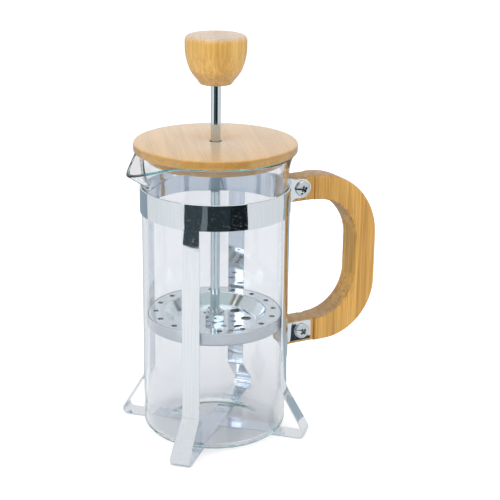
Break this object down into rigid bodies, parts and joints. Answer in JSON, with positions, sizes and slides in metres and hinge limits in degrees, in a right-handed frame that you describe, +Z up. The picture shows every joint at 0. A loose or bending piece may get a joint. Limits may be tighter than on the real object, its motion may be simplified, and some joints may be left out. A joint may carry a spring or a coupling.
{
  "type": "french press",
  "caption": "Glass coffee press in a sheet-steel stand on bent feet, with a wooden side handle, wooden lid and knob, and a plunger with a dished mesh filter.",
  "frame": {"origin": "on the floor under the beaker's axis, at the underside of the lower crossed strap", "axes": "+Z up along the beaker's axis, +X towards the handle, -X towards the spout"},
  "size_m": [0.1368, 0.0816, 0.1993],
  "materials": {
    "stand_steel": "polished stainless sheet",
    "bamboo_handle": "oiled bamboo laminate",
    "bamboo_lid": "oiled bamboo laminate",
    "screw_chrome": "bright plated",
    "insert_brass": "turned",
    "rod_steel": "bright polished",
    "filter_steel": "pressed stainless sheet",
    "mesh_steel": "fine woven wire",
    "clear_glass": "clear borosilicate"
  },
  "bodies": {
    "stand": {"top_band": "stand_steel", "leg_strap_a": "stand_steel", "leg_strap_b": "stand_steel", "lower_bracket_front": "stand_steel", "lower_bracket_rear": "stand_steel", "handle": "bamboo_handle", "upper_screw": "screw_chrome", "upper_nut": "screw_chrome", "lower_screw": "screw_chrome", "lower_nut": "screw_chrome"},
    "beaker": {"glass_beaker": "clear_glass"},
    "lid": {"lid": "bamboo_lid"},
    "plunger": {"knob": "bamboo_lid", "knob_insert": "insert_brass", "plunger_rod": "rod_steel", "hub_nut": "screw_chrome", "filter_plate": "filter_steel", "edge_spring": "filter_steel", "filter_mesh": "mesh_steel", "bottom_plate": "filter_steel", "end_nut": "screw_chrome"}
  },
  "joints": [
    {"name": "beaker_lift", "type": "slide", "parent": "stand", "child": "beaker", "axis": [0, 0, 1], "range_m": [0, 0.135]},
    {"name": "lid_lift", "type": "slide", "parent": "beaker", "child": "lid", "axis": [0, 0, 1], "range_m": [0, 0.125]},
    {"name": "plunge", "type": "slide", "parent": "lid", "child": "plunger", "axis": [0, 0, 1], "range_m": [-0.0275, 0.071]}
  ]
}
